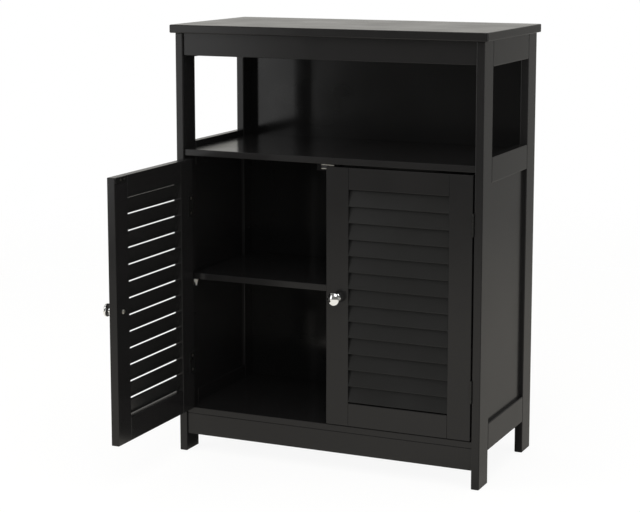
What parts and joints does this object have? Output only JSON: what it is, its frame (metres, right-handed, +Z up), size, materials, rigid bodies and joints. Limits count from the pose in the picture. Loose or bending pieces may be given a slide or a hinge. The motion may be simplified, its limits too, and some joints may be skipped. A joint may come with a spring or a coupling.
{
  "type": "bathroom cabinet",
  "caption": "Free-standing black floor cabinet with an open bay that has side windows, above a cupboard with louvred double doors, round chrome knobs and a loose shelf.",
  "frame": {"origin": "on the floor, under the middle of the top board, which is the middle of the carcass", "axes": "+X to the right seen from the front, +Y from the front to the back, +Z up"},
  "size_m": [0.61, 0.573, 0.8],
  "materials": {
    "black_board": "black paint on fibreboard, satin",
    "back_board": "thin black-painted hardboard, satin",
    "beech_dowel": "bare fluted beech",
    "chrome": "polished chrome plate",
    "zinc_steel": "bright zinc plate",
    "black_steel": "black lacquer",
    "white_plastic": "moulded, satin",
    "black_plastic": "moulded, satin",
    "ferrite": "sintered, dull"
  },
  "bodies": {
    "carcass": {"top_board": "black_board", "front_top_rail": "black_board", "front_bottom_rail": "black_board", "fixed_shelf": "black_board", "bottom_board": "black_board", "adjustable_shelf": "black_board", "back_panel": "back_board", "frame_dowels": "beech_dowel", "board_dowels": "beech_dowel", "cams": "zinc_steel", "cam_bolts": "zinc_steel", "back_panel_screws": "zinc_steel", "hinge_frame_screws": "zinc_steel", "catch_screws": "zinc_steel", "catch_pole_plates": "zinc_steel", "hinge_frame_leaves": "black_steel", "hinge_pins": "black_steel", "shelf_pins": "white_plastic", "catch_case": "black_plastic", "catch_magnets": "ferrite", "left_front_leg": "black_board", "left_rear_leg": "black_board", "left_side_top_rail": "black_board", "left_side_middle_rail": "black_board", "left_side_bottom_rail": "black_board", "left_side_panel": "black_board", "right_front_leg": "black_board", "right_rear_leg": "black_board", "right_side_top_rail": "black_board", "right_side_middle_rail": "black_board", "right_side_bottom_rail": "black_board", "right_side_panel": "black_board"},
    "left_door": {"left_door_hinge_stile": "black_board", "left_door_free_stile": "black_board", "left_door_top_rail": "black_board", "left_door_bottom_rail": "black_board", "left_door_slats": "black_board", "left_door_dowels": "beech_dowel", "left_knob": "chrome", "left_knob_screw": "zinc_steel", "left_strike_plate": "black_steel", "left_strike_screws": "zinc_steel", "left_hinge_door_leaves": "black_steel", "left_hinge_door_screws": "zinc_steel"},
    "right_door": {"right_door_hinge_stile": "black_board", "right_door_free_stile": "black_board", "right_door_top_rail": "black_board", "right_door_bottom_rail": "black_board", "right_door_slats": "black_board", "right_door_dowels": "beech_dowel", "right_knob": "chrome", "right_knob_screw": "zinc_steel", "right_strike_plate": "black_steel", "right_strike_screws": "zinc_steel", "right_hinge_door_leaves": "black_steel", "right_hinge_door_screws": "zinc_steel"}
  },
  "joints": [
    {"name": "left_door_hinge", "type": "hinge", "parent": "carcass", "child": "left_door", "pos_m": [-0.2805, -0.144, 0.32125], "axis": [0, 0, -1], "range_deg": [-90, 80]},
    {"name": "right_door_hinge", "type": "hinge", "parent": "carcass", "child": "right_door", "pos_m": [0.2805, -0.144, 0.32125], "axis": [0, 0, 1], "range_deg": [0, 170]}
  ]
}
